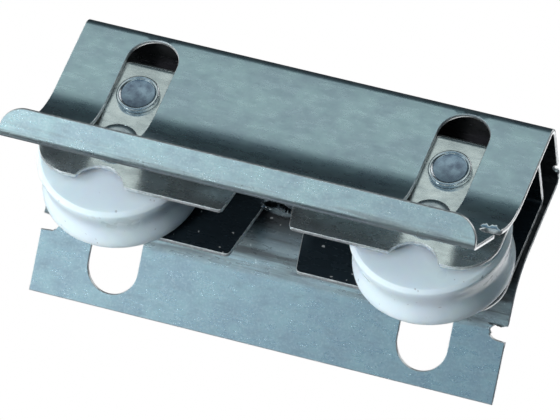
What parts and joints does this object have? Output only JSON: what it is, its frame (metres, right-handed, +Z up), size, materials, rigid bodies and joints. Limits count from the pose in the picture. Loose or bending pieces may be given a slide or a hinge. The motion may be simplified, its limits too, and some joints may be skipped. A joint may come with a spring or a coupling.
{
  "type": "sliding door roller",
  "caption": "Tandem sliding door roller: a flared sheet channel with an inner carriage on grooved nylon wheels, its height set by a screw between them.",
  "frame": {"origin": "centre of the housing's flat top, which bears against the door", "axes": "+X along the rail, +Y across it towards the flare without a lip, +Z up towards the door"},
  "size_m": [0.06, 0.0345, 0.0273],
  "materials": {
    "zinc_sheet": "zinc-plated sheet, mottled and faintly blue",
    "carriage_sheet": "zinc-plated sheet, darker and faintly brown",
    "turned_steel": "turned and riveted steel, plated",
    "nylon": "milky white moulded nylon, slightly translucent"
  },
  "bodies": {
    "housing": {"housing": "zinc_sheet"},
    "screw": {"adjusting_screw": "turned_steel"},
    "carriage": {"carriage": "carriage_sheet", "clinch_nut": "turned_steel", "axle_left": "turned_steel", "axle_right": "turned_steel", "axle_sleeve_left": "turned_steel", "axle_sleeve_right": "turned_steel", "washer_left_near": "turned_steel", "washer_left_far": "turned_steel", "washer_right_near": "turned_steel", "washer_right_far": "turned_steel", "guide_stud_left_near": "turned_steel", "guide_stud_left_far": "turned_steel", "guide_stud_right_near": "turned_steel", "guide_stud_right_far": "turned_steel"},
    "wheel_left": {"wheel_left": "nylon"},
    "wheel_right": {"wheel_right": "nylon"}
  },
  "joints": [
    {"name": "carriage_slide", "type": "slide", "parent": "housing", "child": "carriage", "axis": [0, 0, 1], "range_m": [-0.004, 0.0025]},
    {"name": "screw_turn", "type": "hinge", "parent": "housing", "child": "screw", "pos_m": [0, 0, -0.01], "axis": [0, 0, 1], "range_deg": [-2100, 1320]},
    {"name": "wheel_left_spin", "type": "hinge", "parent": "carriage", "child": "wheel_left", "pos_m": [-0.02, 0, -0.0171], "axis": [0, 1, 0], "continuous": true},
    {"name": "wheel_right_spin", "type": "hinge", "parent": "carriage", "child": "wheel_right", "pos_m": [0.02, 0, -0.0171], "axis": [0, 1, 0], "continuous": true}
  ],
  "couplings": [
    {"joint": "screw_turn", "follows": "carriage_slide", "rad_per_m": 8976}
  ]
}
